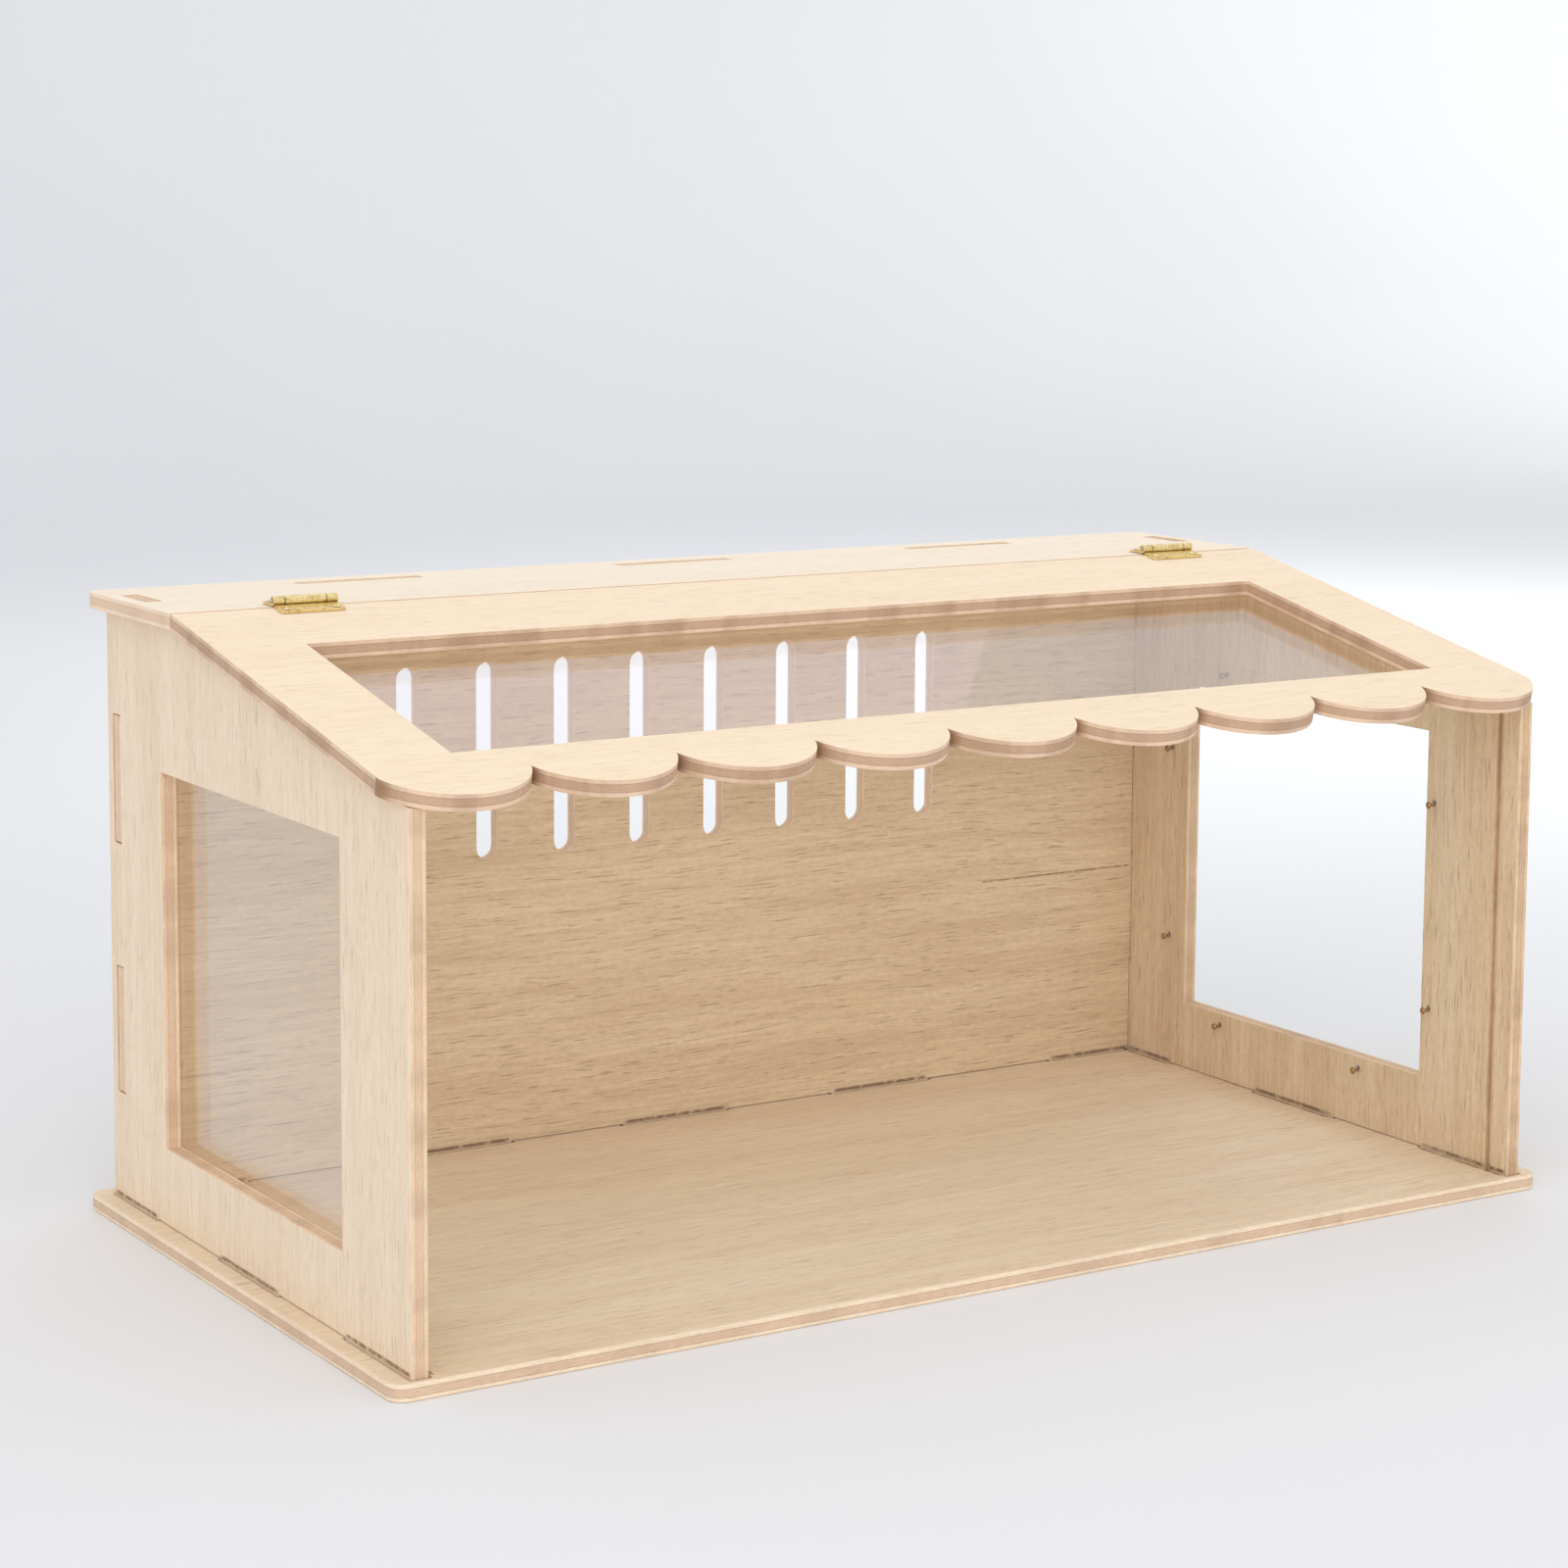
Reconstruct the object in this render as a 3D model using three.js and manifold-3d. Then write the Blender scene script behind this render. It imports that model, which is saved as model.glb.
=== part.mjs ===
// Hamster cage: a slotted plywood box with acrylic windows and a sloping, hinged, scalloped lid.
// Millimetres, +Z up. X runs along the cage and the front faces -Y.
// The origin is on the table, under the middle of the whole object's box.

import * as THREE from "three";
import { mergeVertices } from "three/addons/utils/BufferGeometryUtils.js";
import Module from "manifold-3d";

// Sheets and clearances
const PLY = 5;
const ACRYLIC = 2;
const GAP = 0.3; // between two pieces that touch
const FLUSH = 0.4; // how far a through tenon stops short of the far face
const FLOOR_KERF = 0.9; // open line round a tenon in the base board
const TOP_KERF = 0.4; // open line round a tenon in the roof strip and the side panels

// Base board: the ledges are what it shows outside the walls
const BASE_LENGTH = 400;
const SIDE_LEDGE = 6.5;
const FRONT_LEDGE = 3;
const REAR_LEDGE = 6;
const BASE_CORNER = 5;

// Side panels, measured along Y from their front edge and up from the table
const SIDE_DEPTH = 204;
const SIDE_TOP = 185;
const SIDE_FOOT = PLY + GAP;
const FLOOR_TENONS_Y = [
  [0, 40],
  [83, 124],
  [170, 204],
];
const ROOF_TENON_Y = [173, 193];
const WINDOW = { front: 41.5, rear: 163.5, bottom: 28.3, top: 141 };
const GROOVE_Y = 8.8; // centre line of the front pane's groove
const GROOVE_WIDTH = 2.6;
const GROOVE_DEPTH = 2;

// Back panel, measured along X from the middle
const BACK_FACE_Y = 194.8; // its inner face
const FLOOR_TENON = 40;
const FLOOR_TENONS_X = [-81.5, 0, 81.5];
const CORNER_TENON = 35;
const ROOF_TENON = 42;
const ROOF_TENONS_X = [-113, 0, 113];
const SIDE_TABS_Z = [
  [38, 76.5],
  [115, 153.5],
];
const VENT = { count: 8, pitch: 28, width: 7.5, bottom: 98.5, top: 162 };

// Roof strip and lid, which meet on the ridge
const RIDGE_Y = 144;
const RIDGE_DROP = 30; // from the ridge down to the side panels' front edge
const ROOF_WIDTH = 396;
const ROOF_REAR_LEDGE = 5;
const ROOF_CORNER = 4;
const ROOF_TOP = SIDE_TOP + GAP + PLY;
const SEAM = { roof: 0.4, lid: 1 }; // how far each one stops short of the ridge
const SCALLOPS = 9;
const SCALLOP_LINE = 139.5; // from the ridge to the cusps, down the slope
const SCALLOP_DEPTH = 15.5;
const LID_WINDOW = { half: 170.5, near: 33.5, far: 125.3 };

// Acrylic panes
const SIDE_PANE = { front: 30, rear: 177, bottom: 19.5, top: 150 };
const LID_PANE = { half: 179.5, near: 25, far: 134 };

// Nails that hold the side panes, and their places. The lid's pane is glued.
const NAIL = { shank: 0.6, head: 1.15, rise: 0.8, grip: 3 };
const NAIL_HOLE = 0.85;
const SIDE_NAILS = {
  columnsY: [38, 172.5],
  columnZ: [51, 118],
  rowsZ: [24.3, 147],
  rowY: [71, 143.5],
};

// Butt hinges
const HINGE_X = 158.7;
const HINGE_SHIFT = 2.7; // both hinges sit this far to the right of their even places
const LEAF = { length: 20.5, width: 7.5, thickness: 0.7 };
const KNUCKLE = { radius: 1.4, bore: 0.8, middle: 13, gap: 0.25 };
const PIN = { radius: 0.6, overhang: 0.4 };
const LEAF_LIFT = 0.2; // between the wood and the leaf
const SCREW = { x: 7.8, y: 5.2, hole: 1, shank: 0.75, head: 1.6, rise: 0.4, grip: 3.6, lift: 0.1 };
const SCREW_PILOT = { radius: 0.95, depth: 4.2 };

// Round things are faceted this finely
const FINE = 24;
const MEDIUM = 16;
const COARSE = 10;

// Worked out from the sizes above
const SIDE_OUTER = BASE_LENGTH / 2 - SIDE_LEDGE;
const SIDE_INNER = SIDE_OUTER - PLY;
const SLOPE = Math.atan2(RIDGE_DROP, RIDGE_Y);
const LID_REACH = SCALLOP_LINE + SCALLOP_DEPTH;
const FRONT_MOST = RIDGE_Y - LID_REACH * Math.cos(SLOPE);
const REAR_MOST = SIDE_DEPTH + REAR_LEDGE;
const AXIS_LIFT = LEAF_LIFT + KNUCKLE.radius;
const PANE_GRIP = ACRYLIC + GAP + NAIL.grip;

const wasm = await Module();
wasm.setup();

const material = (color, roughness, metalness = 0) =>
  new THREE.MeshStandardMaterial({ color, roughness, metalness });
const materials = {
  board: material(0xe3cba8, 0.7),
  side: material(0xe9d2b8, 0.7),
  back: material(0xd2b288, 0.7),
  roof: material(0xf6e4cb, 0.7),
  acrylic: Object.assign(material(0xeef3f5, 0.05), { transparent: true, opacity: 0.25 }),
  brass: material(0xc8a856, 0.35, 1),
  nail: material(0x9a7b4c, 0.4, 1),
  steel: material(0xb9b6ae, 0.35, 1),
};

// --- solids -------------------------------------------------------------------------------------

function toSolid(geometry) {
  const bare = geometry.clone();
  bare.deleteAttribute("normal");
  bare.deleteAttribute("uv");
  const merged = mergeVertices(bare, 1e-4);
  const mesh = new wasm.Mesh({
    numProp: 3,
    vertProperties: merged.getAttribute("position").array,
    triVerts: new Uint32Array(merged.index.array),
  });
  return new wasm.Manifold(mesh);
}

function toGeometry(solid) {
  const mesh = solid.getMesh();
  const geometry = new THREE.BufferGeometry();
  geometry.setAttribute("position", new THREE.BufferAttribute(mesh.vertProperties, 3));
  geometry.setIndex(new THREE.BufferAttribute(mesh.triVerts, 1));
  return geometry;
}

function carved(geometry, cutters) {
  return toGeometry(cutters.reduce((solid, cutter) => solid.subtract(toSolid(cutter)), toSolid(geometry)));
}

function joined(geometries) {
  return toGeometry(geometries.map(toSolid).reduce((whole, solid) => whole.add(solid)));
}

// --- shapes -------------------------------------------------------------------------------------

// A block between two opposite corners.
function block([x0, x1], [y0, y1], [z0, z1]) {
  const box = new THREE.BoxGeometry(x1 - x0, y1 - y0, z1 - z0);
  return box.translate((x0 + x1) / 2, (y0 + y1) / 2, (z0 + z1) / 2);
}

// A rod along Z, centred on a point.
function rodZ(radius, length, segments, x, y, z) {
  const rod = new THREE.CylinderGeometry(radius, radius, length, segments);
  return rod.rotateX(Math.PI / 2).translate(x, y, z);
}

// A rod along X, between two ends of the hinge axis.
function rodX(radius, x0, x1) {
  const rod = new THREE.CylinderGeometry(radius, radius, x1 - x0, MEDIUM);
  return rod.rotateZ(Math.PI / 2).translate((x0 + x1) / 2, 0, 0);
}

function outline(points) {
  return new THREE.Shape(points.map(([x, y]) => new THREE.Vector2(x, y)));
}

function rectangle([x0, x1], [y0, y1]) {
  return outline([
    [x0, y0],
    [x1, y0],
    [x1, y1],
    [x0, y1],
  ]);
}

// Points along an arc, from one angle to another in quarter turns.
function arc(x, y, radius, from, to, steps) {
  return Array.from({ length: steps + 1 }, (_, i) => {
    const angle = ((from + ((to - from) * i) / steps) * Math.PI) / 2;
    return [x + radius * Math.cos(angle), y + radius * Math.sin(angle)];
  });
}

// A rectangle with its front and its rear corners rounded by their own radii, or left square at 0.
function roundedRectangle([x0, x1], [y0, y1], front, rear) {
  const corner = (x, y, radius, turn) => (radius ? arc(x, y, radius, turn, turn + 1, COARSE) : [[x, y]]);
  return outline([
    ...corner(x0 + front, y0 + front, front, 2),
    ...corner(x1 - front, y0 + front, front, 3),
    ...corner(x1 - rear, y1 - rear, rear, 4),
    ...corner(x0 + rear, y1 - rear, rear, 5),
  ]);
}

function circle(x, y, radius) {
  return outline(arc(x, y, radius, 0, 4, COARSE).slice(1));
}

// A slot with round ends, standing upright.
function slot(x, width, bottom, top) {
  const radius = width / 2;
  return outline([
    ...arc(x, top - radius, radius, 0, 2, COARSE),
    ...arc(x, bottom + radius, radius, 2, 4, COARSE),
  ]);
}

function extruded(shape, depth) {
  return new THREE.ExtrudeGeometry(shape, { depth, bevelEnabled: false });
}

// A flat sheet with holes right through it, and with other cutters taken from it.
function sheet(shape, thickness, holes = [], cutters = []) {
  const punches = holes.map((hole) => extruded(hole, 3 * thickness).translate(0, 0, -thickness));
  return carved(extruded(shape, thickness), [...punches, ...cutters]);
}

// The opening for a tenon, wider than it by the kerf.
function mortise([x0, x1], [y0, y1], kerf) {
  return rectangle([x0 - kerf, x1 + kerf], [y0 - kerf, y1 + kerf]);
}

const around = (middle, length) => [middle - length / 2, middle + length / 2];
const mirrored = ([from, to]) => [-to, -from];

// --- placing ------------------------------------------------------------------------------------

const axisX = new THREE.Vector3(1, 0, 0);
const axisY = new THREE.Vector3(0, 1, 0);
const axisZ = new THREE.Vector3(0, 0, 1);
// A sheet drawn in X and Y, turned so that its drawing lies in Y and Z, or in X and Z.
const facingX = new THREE.Matrix4().makeBasis(axisY, axisZ, axisX);
const facingY = new THREE.Matrix4().makeBasis(axisX, axisZ, axisY.clone().negate());

function piece(name, geometry, surface, [x, y, z] = [0, 0, 0], turn = null) {
  const mesh = new THREE.Mesh(geometry, surface);
  mesh.name = name;
  mesh.position.set(x, y, z);
  if (turn) mesh.quaternion.setFromRotationMatrix(turn);
  return mesh;
}

// --- base board ---------------------------------------------------------------------------------

const backTenons = [
  [-SIDE_INNER, -SIDE_INNER + CORNER_TENON],
  ...FLOOR_TENONS_X.map((x) => around(x, FLOOR_TENON)),
  [SIDE_INNER - CORNER_TENON, SIDE_INNER],
];
const leftWall = [-SIDE_OUTER, -SIDE_INNER];
const backWall = [BACK_FACE_Y, BACK_FACE_Y + PLY];

function baseBoard() {
  const half = BASE_LENGTH / 2;
  const board = roundedRectangle([-half, half], [-FRONT_LEDGE, REAR_MOST], BASE_CORNER, BASE_CORNER);
  const holes = FLOOR_TENONS_Y.flatMap((span) => [
    mortise(leftWall, span, FLOOR_KERF),
    mortise(mirrored(leftWall), span, FLOOR_KERF),
  ]);
  const middleTenons = backTenons.slice(1, -1);
  holes.push(...middleTenons.map((span) => mortise(span, backWall, FLOOR_KERF)));
  // The corner tenons of the back panel stop short of the side panels' mortises.
  const reach = SIDE_INNER - 2 * FLOOR_KERF - GAP;
  const corner = [SIDE_INNER - CORNER_TENON, reach - FLOOR_KERF];
  holes.push(mortise(corner, backWall, FLOOR_KERF), mortise(mirrored(corner), backWall, FLOOR_KERF));
  return piece("base_board", sheet(board, PLY, holes), materials.board);
}

// --- side panels --------------------------------------------------------------------------------

// Height of the lid's underside above a point of the floor plan.
const lidUnderside = (y) => ROOF_TOP - PLY / Math.cos(SLOPE) - (RIDGE_Y - y) * Math.tan(SLOPE);
// Height of the side panels' sloping edge, just under the lid.
const slopeEdge = (y) => lidUnderside(y) - GAP / Math.cos(SLOPE);

// The edge of a sheet along one line, with tenons that stand out to another line.
function tenonEdge(spans, base, tip) {
  return spans.flatMap(([from, to]) => [
    [from, base],
    [from, tip],
    [to, tip],
    [to, base],
  ]);
}

function sideOutline() {
  const slopeStart = RIDGE_Y + (SIDE_TOP - slopeEdge(RIDGE_Y)) / Math.tan(SLOPE);
  const [roofFront, roofRear] = ROOF_TENON_Y;
  return outline([
    ...tenonEdge(FLOOR_TENONS_Y, SIDE_FOOT, FLUSH),
    [SIDE_DEPTH, SIDE_TOP],
    [roofRear, SIDE_TOP],
    [roofRear, ROOF_TOP - FLUSH],
    [roofFront, ROOF_TOP - FLUSH],
    [roofFront, SIDE_TOP],
    [slopeStart, SIDE_TOP],
    [0, slopeEdge(0)],
  ]);
}

// Where the nails of a side window go: two on each upright edge, two on each level one.
function sideNailSpots() {
  const { columnsY, columnZ, rowsZ, rowY } = SIDE_NAILS;
  const uprights = columnsY.flatMap((y) => columnZ.map((z) => [y, z]));
  const levels = rowsZ.flatMap((z) => rowY.map((y) => [y, z]));
  return [...uprights, ...levels];
}

function sidePanel(name, side) {
  const window = rectangle([WINDOW.front, WINDOW.rear], [WINDOW.bottom, WINDOW.top]);
  const tabs = SIDE_TABS_Z.map((span) => mortise(backWall, span, TOP_KERF));
  const innerFace = side < 0 ? PLY : 0;
  const groove = block(
    around(GROOVE_Y, GROOVE_WIDTH),
    [0, SIDE_TOP],
    [innerFace - GROOVE_DEPTH, innerFace + GROOVE_DEPTH],
  );
  const pilotLength = 2 * (NAIL.grip + GAP);
  const pilots = sideNailSpots().map(([y, z]) => rodZ(NAIL_HOLE, pilotLength, COARSE, y, z, innerFace));
  const x = side < 0 ? -SIDE_OUTER : SIDE_INNER;
  const geometry = sheet(sideOutline(), PLY, [window, ...tabs], [groove, ...pilots]);
  return piece(name, geometry, materials.side, [x, 0, 0], facingX);
}

// --- back panel ---------------------------------------------------------------------------------

function backOutline() {
  const edge = SIDE_INNER - GAP;
  const tip = SIDE_OUTER - FLUSH;
  const floorTenons = [...backTenons];
  floorTenons[0] = [-edge + 2 * FLOOR_KERF, backTenons[0][1]];
  floorTenons[floorTenons.length - 1] = mirrored(floorTenons[0]);
  const roofTenons = ROOF_TENONS_X.map((x) => around(x, ROOF_TENON));
  const rightEdge = tenonEdge(SIDE_TABS_Z, edge, tip).map(([z, x]) => [x, z]);
  const leftEdge = rightEdge.map(([x, z]) => [-x, z]).reverse();
  return outline([
    [-edge, SIDE_FOOT],
    ...tenonEdge(floorTenons, SIDE_FOOT, FLUSH),
    [edge, SIDE_FOOT],
    ...rightEdge,
    [edge, SIDE_TOP],
    ...tenonEdge(roofTenons, SIDE_TOP, ROOF_TOP - FLUSH).reverse(),
    [-edge, SIDE_TOP],
    ...leftEdge,
  ]);
}

function backPanel() {
  const first = (-(VENT.count - 1) * VENT.pitch) / 2;
  const vents = Array.from({ length: VENT.count }, (_, i) =>
    slot(first + i * VENT.pitch, VENT.width, VENT.bottom, VENT.top),
  );
  return piece("back_panel", sheet(backOutline(), PLY, vents), materials.back, [0, backWall[1], 0], facingY);
}

// --- roof strip ---------------------------------------------------------------------------------

// The pilot holes of one hinge leaf's screws, in a sheet whose top face is at this height.
function screwPilots(y, top) {
  return [-1, 1].flatMap((hinge) =>
    [-1, 1].map((end) => {
      const x = hinge * HINGE_X + HINGE_SHIFT + end * SCREW.x;
      return rodZ(SCREW_PILOT.radius, 2 * SCREW_PILOT.depth, COARSE, x, y, top);
    }),
  );
}

function roofStrip() {
  const half = ROOF_WIDTH / 2;
  const depth = [RIDGE_Y + SEAM.roof, SIDE_DEPTH + ROOF_REAR_LEDGE];
  const strip = roundedRectangle([-half, half], depth, 0, ROOF_CORNER);
  const holes = [
    mortise(leftWall, ROOF_TENON_Y, TOP_KERF),
    mortise(mirrored(leftWall), ROOF_TENON_Y, TOP_KERF),
    ...ROOF_TENONS_X.map((x) => mortise(around(x, ROOF_TENON), backWall, TOP_KERF)),
  ];
  const geometry = sheet(strip, PLY, holes, screwPilots(RIDGE_Y + SCREW.y, PLY));
  return piece("roof_strip", geometry, materials.roof, [0, 0, SIDE_TOP + GAP]);
}

// --- lid, drawn flat with the ridge on its X axis and its top face at z = 0 -----------------------

function lidOutline() {
  const half = ROOF_WIDTH / 2;
  const pitch = ROOF_WIDTH / SCALLOPS;
  const radius = (pitch ** 2 / 4 + SCALLOP_DEPTH ** 2) / (2 * SCALLOP_DEPTH);
  const lift = Math.asin(pitch / 2 / radius) / (Math.PI / 2);
  const scallops = Array.from({ length: SCALLOPS }, (_, i) => {
    const x = -half + (i + 0.5) * pitch;
    return arc(x, radius - LID_REACH, radius, 3 - lift, 3 + lift, FINE).slice(0, -1);
  });
  return outline([[-half, -SEAM.lid], ...scallops.flat(), [half, -SCALLOP_LINE], [half, -SEAM.lid]]);
}

function lidFrame() {
  const { half, near, far } = LID_WINDOW;
  const window = rectangle([-half, half], [-far, -near]);
  const screwY = AXIS_LIFT * Math.sin(SLOPE) - SCREW.y;
  const geometry = sheet(lidOutline(), PLY, [window], screwPilots(screwY, PLY));
  return piece("lid_frame", geometry, materials.roof, [0, 0, -PLY]);
}

function lidPane() {
  const { half, near, far } = LID_PANE;
  const face = rectangle([-half, half], [-far, -near]);
  return piece("lid_pane", extruded(face, ACRYLIC), materials.acrylic, [0, 0, -PLY - GAP - ACRYLIC]);
}

// --- panes of the box ---------------------------------------------------------------------------

function frontPane() {
  const half = SIDE_INNER + GROOVE_DEPTH - GAP;
  const front = GROOVE_Y - ACRYLIC / 2;
  const face = rectangle([-half, half], [SIDE_FOOT, lidUnderside(front) - 2 * GAP]);
  return piece("front_pane", extruded(face, ACRYLIC), materials.acrylic, [0, front + ACRYLIC, 0], facingY);
}

function sidePane(name, side) {
  const { front, rear, bottom, top } = SIDE_PANE;
  const holes = sideNailSpots().map(([y, z]) => circle(y, z, NAIL_HOLE));
  const geometry = sheet(rectangle([front, rear], [bottom, top]), ACRYLIC, holes);
  const x = side < 0 ? -SIDE_INNER + GAP : SIDE_INNER - GAP - ACRYLIC;
  return piece(name, geometry, materials.acrylic, [x, 0, 0], facingX);
}

// --- nails and screws, turned about Y with the head's underside at y = 0 --------------------------

function nailGeometry() {
  const { shank, head, rise } = NAIL;
  const profile = [
    [0, -PANE_GRIP],
    [shank, shank - PANE_GRIP],
    [shank, 0],
    [head, 0],
    [head * 0.85, rise * 0.55],
    [head * 0.4, rise],
    [0, rise],
  ];
  return new THREE.LatheGeometry(profile.map(([r, y]) => new THREE.Vector2(r, y)), COARSE);
}

function screwGeometry() {
  const { shank, head, rise, grip } = SCREW;
  const length = grip + LEAF.thickness;
  const profile = [
    [0, -length],
    [shank, shank - length],
    [shank, 0],
    [head, 0],
    [head * 0.8, rise * 0.75],
    [head * 0.4, rise],
    [0, rise],
  ];
  return new THREE.LatheGeometry(profile.map(([r, y]) => new THREE.Vector2(r, y)), MEDIUM);
}

const HEAD_LIFT = GAP / 2; // between a nail's head and its pane

function sideNails(prefix, side) {
  const x = -side * (-SIDE_INNER + GAP + ACRYLIC + HEAD_LIFT);
  const turn = new THREE.Matrix4().makeRotationZ((side * Math.PI) / 2);
  return sideNailSpots().map(([y, z], i) =>
    piece(`${prefix}_nail_${i + 1}`, nailGeometry(), materials.nail, [x, y, z], turn),
  );
}

// --- hinges, drawn round their axis with the leaf towards +Y --------------------------------------

const halfLeaf = LEAF.length / 2;
const halfMiddle = KNUCKLE.middle / 2;
const middleKnuckle = [[-halfMiddle, halfMiddle]];
const endKnuckles = [
  [-halfLeaf, -halfMiddle - KNUCKLE.gap],
  [halfMiddle + KNUCKLE.gap, halfLeaf],
];

function leafGeometry(knuckles) {
  const plate = [-KNUCKLE.radius, -KNUCKLE.radius + LEAF.thickness];
  const clear = KNUCKLE.radius + GAP;
  const solid = joined([
    block([-halfLeaf, halfLeaf], [clear, LEAF.width], plate),
    ...knuckles.map((span) => block(span, [0, clear + GAP], plate)),
    ...knuckles.map(([from, to]) => rodX(KNUCKLE.radius, from, to)),
  ]);
  const holes = [-SCREW.x, SCREW.x].map((x) => rodZ(SCREW.hole, LEAF.width, MEDIUM, x, SCREW.y, 0));
  return carved(solid, [rodX(KNUCKLE.bore, -LEAF.length, LEAF.length), ...holes]);
}

// A leaf and its two screws, round the hinge's axis.
function leafGroup(prefix, part, knuckles) {
  const group = new THREE.Group();
  group.add(piece(`${prefix}_${part}_leaf`, leafGeometry(knuckles), materials.brass));
  const z = LEAF.thickness - KNUCKLE.radius + SCREW.lift;
  const turn = new THREE.Matrix4().makeRotationX(Math.PI / 2);
  [-SCREW.x, SCREW.x].forEach((x, i) => {
    group.add(piece(`${prefix}_${part}_screw_${i + 1}`, screwGeometry(), materials.brass, [x, SCREW.y, z], turn));
  });
  return group;
}

function pin(name) {
  const reach = halfLeaf + PIN.overhang;
  return piece(name, rodX(PIN.radius, -reach, reach), materials.steel);
}

// --- assembly -----------------------------------------------------------------------------------

const lid = new THREE.Group();
lid.position.set(0, RIDGE_Y, ROOF_TOP);
lid.rotation.x = SLOPE;
lid.add(lidFrame(), lidPane());

const box = new THREE.Group();
box.add(
  baseBoard(),
  sidePanel("left_side_panel", -1),
  sidePanel("right_side_panel", 1),
  backPanel(),
  roofStrip(),
  frontPane(),
  sidePane("left_window_pane", -1),
  sidePane("right_window_pane", 1),
  ...sideNails("left_window", -1),
  ...sideNails("right_window", 1),
);

for (const [prefix, x] of [
  ["left_hinge", HINGE_SHIFT - HINGE_X],
  ["right_hinge", HINGE_SHIFT + HINGE_X],
]) {
  const fixed = leafGroup(prefix, "fixed", endKnuckles);
  fixed.position.set(x, RIDGE_Y, ROOF_TOP + AXIS_LIFT);
  fixed.add(pin(`${prefix}_pin`));
  box.add(fixed);
  const moving = leafGroup(prefix, "moving", middleKnuckle);
  moving.position.set(x, AXIS_LIFT * Math.sin(SLOPE), AXIS_LIFT * Math.cos(SLOPE));
  moving.rotation.z = Math.PI;
  lid.add(moving);
}

const group = new THREE.Group();
group.add(box, lid);
group.position.y = -(FRONT_MOST + REAR_MOST) / 2;

export default group;
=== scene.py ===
"""Looks for the hamster cage: plywood, clear acrylic, brass hinges, screws and nails, in a pale studio."""

from collections import namedtuple
from math import atan2, cos, pi, radians, sin

import bmesh
import bpy
from mathutils import Matrix, Vector


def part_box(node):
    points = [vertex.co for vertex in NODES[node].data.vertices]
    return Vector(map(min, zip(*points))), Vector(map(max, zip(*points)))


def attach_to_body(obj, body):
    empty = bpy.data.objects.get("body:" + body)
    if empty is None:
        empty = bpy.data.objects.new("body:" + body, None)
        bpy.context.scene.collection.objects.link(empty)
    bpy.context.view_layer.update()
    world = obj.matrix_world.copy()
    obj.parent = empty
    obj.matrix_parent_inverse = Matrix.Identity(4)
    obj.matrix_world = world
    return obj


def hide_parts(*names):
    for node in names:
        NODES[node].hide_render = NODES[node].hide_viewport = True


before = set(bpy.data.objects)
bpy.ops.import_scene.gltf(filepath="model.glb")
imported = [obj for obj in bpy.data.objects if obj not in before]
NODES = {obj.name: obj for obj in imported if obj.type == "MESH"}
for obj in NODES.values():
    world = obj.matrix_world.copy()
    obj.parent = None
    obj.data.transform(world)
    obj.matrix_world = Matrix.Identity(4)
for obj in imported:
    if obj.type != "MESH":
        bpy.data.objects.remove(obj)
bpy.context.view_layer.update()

MM = 0.001
X, Y, Z = Vector((1, 0, 0)), Vector((0, 1, 0)), Vector((0, 0, 1))

# --- view -----------------------------------------------------------------------------------------
AZIMUTH, ELEVATION, ROLL = -32.12, 6.94, 0.40  # degrees
AIM = Vector((0, 0.87, 96.75)) * MM
DISTANCE = 1.117
SLIDE_RIGHT, SLIDE_UP = -0.01393, 0.08279  # the camera's own offset from the line to AIM
LENS, SENSOR = 83.31, 36
SHIFT_Y = -0.1024

# --- plywood: three plies, the outer two pale ------------------------------------------------------
PLY = 5 * MM
VENEER = 1.35 * MM
GLUE_LINE = 0.16 * MM
EDGE_ROUNDING, BASE_ROUNDING = 0.25 * MM, 0.6 * MM
GRAIN_WANDER = 12 * MM  # how far the grain drifts sideways over a panel
GRAIN_DEPTH = 0.12 * MM
FIGURE_SHARE, BAND_SHARE, FIBRE_SHARE, RIPPLE_SHARE = 0.30, 0.30, 0.30, 0.20  # of the face's darkening
PORE_SHARE = 0.38
MARK_FEATHER = 2 * MM  # how softly a long dark mark begins and ends
SEED, SEED_STEP = 2.1, 3.7


def srgb(red, green, blue):
    """A colour from its screen values, 0 to 255, as the linear colour that a shader takes."""
    def linear(value):
        share = value / 255
        return share / 12.92 if share <= 0.04045 else ((share + 0.055) / 1.055) ** 2.4
    return (linear(red), linear(green), linear(blue), 1)


# --- node trees -----------------------------------------------------------------------------------

def add(tree, kind, inputs=None, **settings):
    """A new node with its settings, and its inputs given as values or as other nodes' outputs."""
    made = tree.nodes.new(kind)
    for key, value in settings.items():
        setattr(made, key, value)
    for key, value in (inputs or {}).items():
        socket = made.inputs[key]
        if isinstance(value, bpy.types.NodeSocket):
            tree.links.new(value, socket)
        else:
            socket.default_value = value
    return made


def maths(tree, operation, *values, clamp=False):
    inputs = dict(enumerate(values))
    return add(tree, "ShaderNodeMath", inputs, operation=operation, use_clamp=clamp).outputs[0]


def dot(tree, vector, axis):
    made = add(tree, "ShaderNodeVectorMath", {0: vector, 1: tuple(axis)}, operation="DOT_PRODUCT")
    return made.outputs["Value"]


def combine(tree, x, y, z):
    return add(tree, "ShaderNodeCombineXYZ", {"X": x, "Y": y, "Z": z}).outputs[0]


def noise(tree, vector, detail=2.0, roughness=0.5):
    inputs = {"Vector": vector, "Scale": 1.0, "Detail": detail, "Roughness": roughness}
    return add(tree, "ShaderNodeTexNoise", inputs).outputs["Fac"]


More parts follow.
